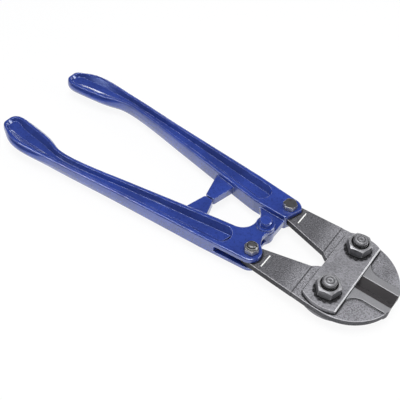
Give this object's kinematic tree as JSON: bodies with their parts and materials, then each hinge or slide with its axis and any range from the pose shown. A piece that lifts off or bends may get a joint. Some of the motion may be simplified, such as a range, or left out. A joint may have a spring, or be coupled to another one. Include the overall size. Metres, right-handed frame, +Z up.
{
  "type": "bolt cutters",
  "caption": "Hand bolt cutters with forged lever handles, compound arm pivots and two centre-cut jaws between side plates; the handles swing apart to open the jaws.",
  "frame": {"origin": "middle of the bounding box, at its base, with the tool closed and lying flat", "axes": "+X toward the nose of the jaws, +Y toward the left handle, +Z up, across the thickness of the tool"},
  "size_m": [0.464, 0.1494, 0.0442],
  "materials": {
    "handle_paint": "glossy blue enamel on forged steel",
    "pin_paint": "the same blue enamel, brushed over the riveted pin",
    "jaw_steel": "forged alloy steel, shot blasted, edge ground",
    "plate_steel": "rolled steel, shot blasted, ground edges",
    "bolt_steel": "bright turned steel",
    "nut_steel": "plain steel, slightly dark",
    "washer_steel": "blackened spring steel",
    "ring_nylon": "black nylon"
  },
  "bodies": {
    "side_plates": {"top_side_plate": "plate_steel", "bottom_side_plate": "plate_steel", "left_jaw_bolt": "bolt_steel", "right_jaw_bolt": "bolt_steel", "left_jaw_nut": "nut_steel", "right_jaw_nut": "nut_steel", "left_star_washer": "washer_steel", "right_star_washer": "washer_steel"},
    "left_jaw_body": {"left_jaw": "jaw_steel"},
    "right_jaw_body": {"right_jaw": "jaw_steel"},
    "left_handle_body": {"left_handle": "handle_paint", "left_pivot_bolt": "bolt_steel", "left_pivot_nut": "nut_steel", "left_locking_ring": "ring_nylon"},
    "right_handle_body": {"right_handle": "handle_paint", "centre_pin": "pin_paint", "top_centre_washer": "pin_paint", "bottom_centre_washer": "pin_paint", "right_pivot_bolt": "bolt_steel", "right_pivot_nut": "nut_steel", "right_locking_ring": "ring_nylon"}
  },
  "joints": [
    {"name": "left_jaw_swing", "type": "hinge", "parent": "side_plates", "child": "left_jaw_body", "pos_m": [0.178, 0.029, 0.0184], "axis": [0, 0, 1], "range_deg": [0, 7.98]},
    {"name": "right_jaw_swing", "type": "hinge", "parent": "side_plates", "child": "right_jaw_body", "pos_m": [0.178, -0.029, 0.0184], "axis": [0, 0, -1], "range_deg": [0, 7.98]},
    {"name": "left_handle_swing", "type": "hinge", "parent": "left_jaw_body", "child": "left_handle_body", "pos_m": [0.0978, 0.0344, 0.0184], "axis": [0, 0, -1], "range_deg": [0, 48]},
    {"name": "right_handle_swing", "type": "hinge", "parent": "right_jaw_body", "child": "right_handle_body", "pos_m": [0.0978, -0.0344, 0.0184], "axis": [0, 0, 1], "range_deg": [0, 48]}
  ],
  "couplings": [
    {"joint": "left_jaw_swing", "follows": "left_handle_swing", "ratio": 0.166},
    {"joint": "right_jaw_swing", "follows": "left_handle_swing", "ratio": 0.166},
    {"joint": "right_handle_swing", "follows": "left_handle_swing", "ratio": 1}
  ]
}
